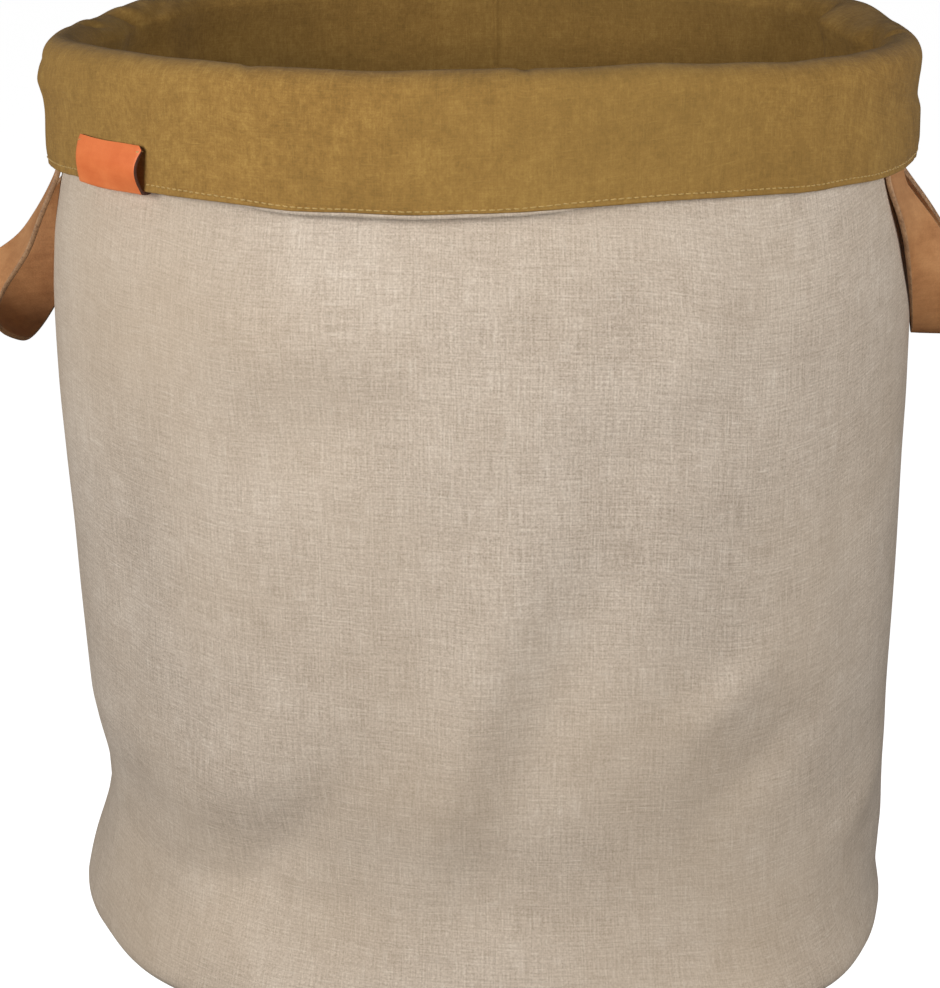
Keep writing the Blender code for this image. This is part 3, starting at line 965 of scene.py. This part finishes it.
class Nodes:
    """A short way to write a material's nodes."""

    def __init__(self, name):
        self.material = bpy.data.materials.new(name)
        self.material.use_nodes = True
        self.tree = self.material.node_tree
        self.shader = self.tree.nodes["Principled BSDF"]

    def add(self, kind, inputs=(), **settings):
        node = self.tree.nodes.new("ShaderNode" + kind)
        for key, value in settings.items():
            setattr(node, key, value)
        for key, value in dict(inputs).items():
            self.put(node.inputs[key], value)
        return node

    def put(self, socket, value):
        if isinstance(value, bpy.types.NodeSocket):
            self.tree.links.new(value, socket)
        elif isinstance(value, bpy.types.Node):
            self.tree.links.new(value.outputs[0], socket)
        else:
            socket.default_value = value

    def math(self, operation, a, b=0.0, clamp=False):
        return self.add("Math", {0: a, 1: b}, operation=operation, use_clamp=clamp).outputs[0]

    def noise(self, vector, scale, detail=2.0, roughness=0.5):
        inputs = {"Vector": vector, "Scale": scale, "Detail": detail, "Roughness": roughness}
        return self.add("TexNoise", inputs).outputs[0]

    def stretch(self, vector, x, y, z=1.0):
        return self.add("Mapping", {"Vector": vector, "Scale": (x, y, z)}).outputs[0]

    def ramp(self, factor, *stops):
        """A colour ramp through (place, colour) stops."""
        node = self.add("ValToRGB", {"Fac": factor})
        elements = node.color_ramp.elements
        while len(elements) < len(stops):
            elements.new(0.5)
        for element, (place, color) in zip(elements, stops):
            element.position = place
            element.color = (*color, 1.0)
        return node.outputs[0]

    def level(self, factor, low, high, to_low=0.0, to_high=1.0):
        inputs = {"Value": factor, 1: low, 2: high, 3: to_low, 4: to_high}
        return self.add("MapRange", inputs).outputs[0]

    def spread(self, noise, amount):
        """A noise brought between -amount and amount."""
        return self.level(noise, 0.3, 0.7, -amount, amount)

    def tone(self, *differences):
        """Differences added up round 0.5, kept between 0 and 1."""
        total = differences[0]
        for difference in differences[1:]:
            total = self.math("ADD", total, difference)
        return self.math("ADD", total, 0.5, clamp=True)

    def mix(self, factor, a, b):
        node = self.add("Mix", data_type="RGBA")
        self.put(node.inputs[0], factor)
        self.put(node.inputs[6], a)
        self.put(node.inputs[7], b)
        return node.outputs[2]

    def finish(self, color, roughness, height, distance, strength=1.0):
        bump = self.add("Bump", {"Height": height, "Distance": distance, "Strength": strength})
        self.put(self.shader.inputs["Base Color"], color)
        self.put(self.shader.inputs["Roughness"], roughness)
        self.put(self.shader.inputs["Normal"], bump)
        return self.material


def cloth(name, base, light, dark, pitch, speckle, slub, mottle, patch):
    """Plain weave from cloth coordinates in metres: threads over and under, slubs, fibres and faint patches.

    base, light and dark are colours; pitch is the distance between threads, speckle how much single threads
    differ, slub how strongly the thick stretches show, mottle how much spots of a few millimetres differ, and
    patch the colour of the faint large patches.
    """
    n = Nodes(name)
    uv = n.add("UVMap", uv_map="cloth").outputs[0]
    wander = n.add("TexNoise", {"Vector": uv, "Scale": 90.0, "Detail": 1.0}).outputs[1]
    offset = n.add("VectorMath", {0: wander, 1: (0.5, 0.5, 0.5)}, operation="SUBTRACT").outputs[0]
    small = n.add("VectorMath", {0: offset, "Scale": 1.1 * pitch}, operation="SCALE").outputs[0]
    bent = n.add("VectorMath", {0: uv, 1: small}, operation="ADD").outputs[0]
    split = n.add("SeparateXYZ", {0: bent})
    u, v = split.outputs[0], split.outputs[1]
    half_turns = math.pi / pitch
    su = n.math("SINE", n.math("MULTIPLY", u, half_turns))
    sv = n.math("SINE", n.math("MULTIPLY", v, half_turns))
    over = n.level(n.math("MULTIPLY", su, sv), -0.5, 0.5)
    warp_round, weft_round = (
        n.math("ABSOLUTE", n.math("SINE", n.math("ADD", n.math("MULTIPLY", way, half_turns), math.pi / 2)))
        for way in (u, v)
    )
    weave = n.add("Mix", {0: over, 2: weft_round, 3: warp_round}, data_type="FLOAT").outputs[0]

    # Single threads: long streaks down the warp and along the weft.
    across = 1.0 / pitch
    warp_streak = n.noise(n.stretch(bent, across * 0.8, across * 0.030), 1.0, 1.0)
    weft_streak = n.noise(n.stretch(bent, across * 0.030, across * 0.8), 1.0, 1.0)
    thread = n.add("Mix", {0: over, 2: weft_streak, 3: warp_streak}, data_type="FLOAT").outputs[0]
    warp_slub = n.level(n.noise(n.stretch(bent, across * 0.55, across * 0.055), 1.0, 0.0), 0.66, 0.80)
    weft_slub = n.level(n.noise(n.stretch(bent, across * 0.060, across * 0.50, 1.3), 1.0, 0.0), 0.66, 0.80)
    slubs = n.math("MAXIMUM", warp_slub, weft_slub)
    fleck = n.noise(n.stretch(bent, across * 0.5, across * 0.5), 1.0, 2.0, 0.7)
    cloud = n.noise(uv, 16.0, 3.0, 0.6)
    wide = n.noise(uv, 5.0, 2.0, 0.5)

    spots = n.noise(n.stretch(bent, 330.0, 260.0), 1.0, 4.0, 0.75)
    blotches = n.noise(n.stretch(bent, 85.0, 60.0), 1.0, 3.0, 0.6)
    tone = n.tone(
        n.level(thread, 0.32, 0.68, -speckle, speckle),
        n.level(fleck, 0.30, 0.70, -speckle * 1.1, speckle * 1.1),
        # Painted shade and highlight of the weave: each thread is darker down its rounded sides and in the
        # gaps, and a little lighter on its crest.
        n.level(weave, 0.0, 1.0, -0.16, 0.05),
        n.spread(cloud, 0.10),
        n.spread(spots, mottle),
        n.spread(blotches, 0.6 * mottle),
    )
    color = n.ramp(tone, (0.0, dark), (0.5, base), (1.0, light))
    color = n.mix(n.math("MULTIPLY", slubs, slub), color, (*light, 1.0))
    color = n.mix(n.level(wide, 0.40, 0.70, 0.0, 0.45), color, (*patch, 1.0))

    height = n.math("MULTIPLY", weave, 0.6)
    height = n.math("ADD", height, n.math("MULTIPLY", slubs, 0.5))
    height = n.math("ADD", height, n.math("MULTIPLY", fleck, 0.5))
    roughness = n.level(fleck, 0.3, 0.7, 0.82, 0.96)
    n.shader.inputs["Sheen Weight"].default_value = 0.06
    n.shader.inputs["Sheen Roughness"].default_value = 0.5
    n.shader.inputs["Specular IOR Level"].default_value = 0.18
    return n.finish(color, roughness, height, 0.00022, 0.8)


def leather(name, base, light, dark, grain, roughness, wear):
    """Smooth leather: fine pebbled grain, scuffs, creases and a colour that clouds a little."""
    n = Nodes(name)
    at = n.add("TexCoord").outputs[3]
    cells = {"Vector": at, "Scale": grain, "Randomness": 1.0}
    pebble = n.add("TexVoronoi", cells, feature="SMOOTH_F1").outputs[0]
    fine = n.noise(at, grain * 2.2, 4.0, 0.65)
    cloud = n.noise(at, 38.0, 4.0, 0.6)
    broad = n.noise(at, 11.0, 2.0, 0.5)
    crease = n.noise(n.stretch(at, 60.0, 60.0, 420.0), 1.0, 3.0, 0.6)
    creases = n.level(crease, 0.4, 0.6, -0.06, 0.06)
    tone = n.tone(n.spread(cloud, 0.28), n.spread(broad, 0.2), n.spread(fine, 0.14), creases)
    color = n.ramp(tone, (0.0, dark), (0.5, base), (1.0, light))
    color = n.mix(n.level(pebble, 0.25, 0.6, 0.0, 0.12), color, (*dark, 1.0))
    scuff = n.level(n.noise(n.stretch(at, 150.0, 150.0, 24.0), 1.0, 5.0, 0.75), 0.60, 0.78)
    color = n.mix(n.math("MULTIPLY", scuff, wear), color, (*light, 1.0))
    height = n.math("ADD", n.math("MULTIPLY", pebble, -0.7), n.math("MULTIPLY", fine, 0.5))
    even = n.level(fine, 0.3, 0.7, roughness - 0.07, roughness + 0.09)
    rough = n.math("ADD", even, n.math("MULTIPLY", scuff, 0.1))
    n.shader.inputs["Specular IOR Level"].default_value = 0.45
    return n.finish(color, rough, height, 0.00012, 0.7)


def cut_edge(name, base, dark):
    """A strip's cut and burnished edge: fibres in thin layers along it."""
    n = Nodes(name)
    at = n.add("TexCoord").outputs[3]
    fibre = n.noise(at, 900.0, 4.0, 0.7)
    blotch = n.noise(at, 120.0, 3.0, 0.6)
    tone = n.math("ADD", n.level(fibre, 0.3, 0.7, 0.0, 0.6), n.level(blotch, 0.3, 0.7, 0.0, 0.4))
    color = n.ramp(tone, (0.15, dark), (0.8, base))
    n.shader.inputs["Specular IOR Level"].default_value = 0.4
    return n.finish(color, n.level(fibre, 0.3, 0.7, 0.5, 0.75), fibre, 0.0001, 0.6)


def spun_thread(name, base, dark):
    """Sewing thread: plies that wind round it and a soft shine."""
    n = Nodes(name)
    at = n.add("TexCoord").outputs[3]
    winding = {"Vector": at, "Scale": 900.0, "Distortion": 1.5}
    ply = n.add("TexWave", winding, bands_direction="DIAGONAL").outputs[1]
    fuzz = n.noise(at, 2600.0, 2.0, 0.6)
    color = n.mix(ply, (*dark, 1.0), (*base, 1.0))
    color = n.mix(n.level(fuzz, 0.4, 0.7, 0.0, 0.3), color, (*dark, 1.0))
    n.shader.inputs["Sheen Weight"].default_value = 0.3
    return n.finish(color, n.level(fuzz, 0.3, 0.7, 0.45, 0.7), ply, 0.0001, 0.6)


def felted(name, base, dark):
    """Needled felt or pressed board: tangled fibres and faint clouds."""
    n = Nodes(name)
    at = n.add("TexCoord").outputs[3]
    fibre = n.noise(n.stretch(at, 900.0, 300.0, 500.0), 1.0, 4.0, 0.75)
    cloud = n.noise(at, 60.0, 3.0, 0.6)
    tone = n.math("ADD", n.level(fibre, 0.3, 0.7, 0.0, 0.7), n.level(cloud, 0.3, 0.7, 0.0, 0.3))
    color = n.ramp(tone, (0.1, dark), (0.9, base))
    return n.finish(color, n.level(fibre, 0.3, 0.7, 0.8, 0.98), fibre, 0.0004, 0.8)


def floor_finish():
    """Pale paper with a barely seen tooth. It looks white, and throws little light back up at the bin."""
    n = Nodes("studio_paper")
    at = n.add("TexCoord").outputs[3]
    tooth = n.noise(at, 260.0, 4.0, 0.6)
    seen = n.add("LightPath").outputs["Is Camera Ray"]
    pale = n.ramp(tooth, (0.3, (0.84, 0.84, 0.84)), (0.7, (0.88, 0.88, 0.88)))
    color = n.mix(seen, (0.07, 0.067, 0.064, 1.0), pale)
    n.shader.inputs["Emission Color"].default_value = (1.0, 1.0, 1.0, 1.0)
    n.put(n.shader.inputs["Emission Strength"], n.math("MULTIPLY", seen, FLOOR_GLOW))
    return n.finish(color, n.level(tooth, 0.3, 0.7, 0.85, 0.95), tooth, 0.0002, 0.3)


# The studio

CAMERA_AWAY = 1.225
CAMERA_HEIGHT = 0.5206
CAMERA_BEARING = math.radians(-83.0)
CAMERA_DOWN = math.radians(14.84)
CAMERA_LENS = 94.0  # this and the sensor in millimetres
SENSOR_WIDTH = 36.0
CAMERA_SHIFT = -0.0121  # share of the picture's width
FLOOR_REACH = 12.0
FLOOR_GAP = 0.0005  # under the bin
FLOOR_GLOW = 0.90
SOFTBOXES = (("left_softbox", (-0.72, -0.80, 0.53), 7.9), ("right_softbox", (0.72, -0.80, 0.53), 7.0))
SOFTBOX_SIZE = 0.5
SOFTBOX_TARGET = (0.0, 0.0, 0.34)
SKY_STRENGTH = 0.11


def add_camera():
    """The camera in front of the bin, a little to the right, looking slightly down."""
    data = bpy.data.cameras.new("camera")
    data.lens = CAMERA_LENS
    data.sensor_width = SENSOR_WIDTH
    data.shift_x = CAMERA_SHIFT
    obj = new_object("camera", data)
    obj.location = polar(CAMERA_BEARING, CAMERA_AWAY, CAMERA_HEIGHT)
    obj.rotation_euler = (math.pi / 2 - CAMERA_DOWN, 0.0, CAMERA_BEARING + math.pi / 2)
    bpy.context.scene.camera = obj


def add_softbox(name, location, power):
    data = bpy.data.lights.new(name, "AREA")
    data.shape = "DISK"
    data.size = SOFTBOX_SIZE
    data.energy = power
    obj = new_object(name, data)
    obj.location = location
    way = Vector(SOFTBOX_TARGET) - Vector(location)
    obj.rotation_euler = way.to_track_quat("-Z", "Y").to_euler()


def add_studio():
    """A pale floor, a softbox on each side in front of the bin, and a faint even light from all round."""
    floor = bpy.data.meshes.new("studio_floor")
    corners = [(x * FLOOR_REACH, y * FLOOR_REACH, 0) for x, y in ((-1, -1), (1, -1), (1, 1), (-1, 1))]
    floor.from_pydata(corners, [], [(0, 1, 2, 3)])
    floor.materials.append(floor_finish())
    stage = new_object("studio_floor", floor)
    stage.location.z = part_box("outer_base")[0].z - FLOOR_GAP

    for name, location, power in SOFTBOXES:
        add_softbox(name, location, power)
    world = bpy.data.worlds.new("studio")
    world.use_nodes = True
    background = world.node_tree.nodes["Background"]
    background.inputs["Color"].default_value = (1.0, 1.0, 1.0, 1.0)
    background.inputs["Strength"].default_value = SKY_STRENGTH
    bpy.context.scene.world = world
    bpy.context.scene.view_settings.view_transform = "Standard"


def main():
    add_camera()
    canvas = cloth(
        "natural_canvas",
        base=(0.605, 0.500, 0.400),
        light=(0.86, 0.77, 0.66),
        dark=(0.34, 0.270, 0.205),
        pitch=0.00056,
        speckle=0.20,
        slub=0.26,
        mottle=0.06,
        patch=(0.61, 0.475, 0.335),
    )
    mustard = cloth(
        "mustard_linen",
        base=(0.348, 0.190, 0.047),
        light=(0.52, 0.32, 0.085),
        dark=(0.20, 0.110, 0.026),
        pitch=0.00052,
        speckle=0.10,
        slub=0.20,
        mottle=0.22,
        patch=(0.300, 0.185, 0.050),
    )
    thread = spun_thread("golden_thread", (0.68, 0.46, 0.13), (0.36, 0.21, 0.05))
    strap_leather = leather(
        "strap_leather", (0.52, 0.240, 0.095), (0.70, 0.36, 0.155), (0.30, 0.118, 0.042), 900.0, 0.48, 0.5
    )
    strap_edge = cut_edge("strap_cut_edge", (0.50, 0.29, 0.15), (0.20, 0.10, 0.05))
    label_leather = leather(
        "label_leather", (0.85, 0.225, 0.070), (0.95, 0.31, 0.11), (0.72, 0.16, 0.045), 1500.0, 0.42, 0.15
    )
    # The label's cut edge is dark brown leather with painted shade: it is darkened further for the shadow in
    # the gap behind its lifted edge.
    label_edge_and_painted_shade = cut_edge("label_cut_edge_and_painted_shade", (0.11, 0.035, 0.018), (0.05, 0.018, 0.010))
    felt = felted("white_felt", (0.78, 0.77, 0.73), (0.55, 0.54, 0.50))

    add_canvas(canvas)
    add_felt(felt)
    add_lining(mustard)
    disc_sheet("canvas_base", "outer_base", 0.0002 + CANVAS / 2, CANVAS, 0.0006, canvas, "canvas")
    disc_sheet("lining_floor", "lining_base", FLOOR_TOP - LINING / 2, LINING, 0.0012, mustard, "lining")
    board_slots = frame["nodes"]["base_board"].data.materials
    board_slots.clear()
    board_slots.append(felted("grey_board", (0.33, 0.32, 0.30), (0.20, 0.19, 0.18)))
    add_hem_stitches(thread)
    add_label(label_leather, label_edge_and_painted_shade, thread)
    for hand, shape in STRAPS.items():
        add_strap(hand, shape, strap_leather, strap_edge, thread)
    add_studio()


main()
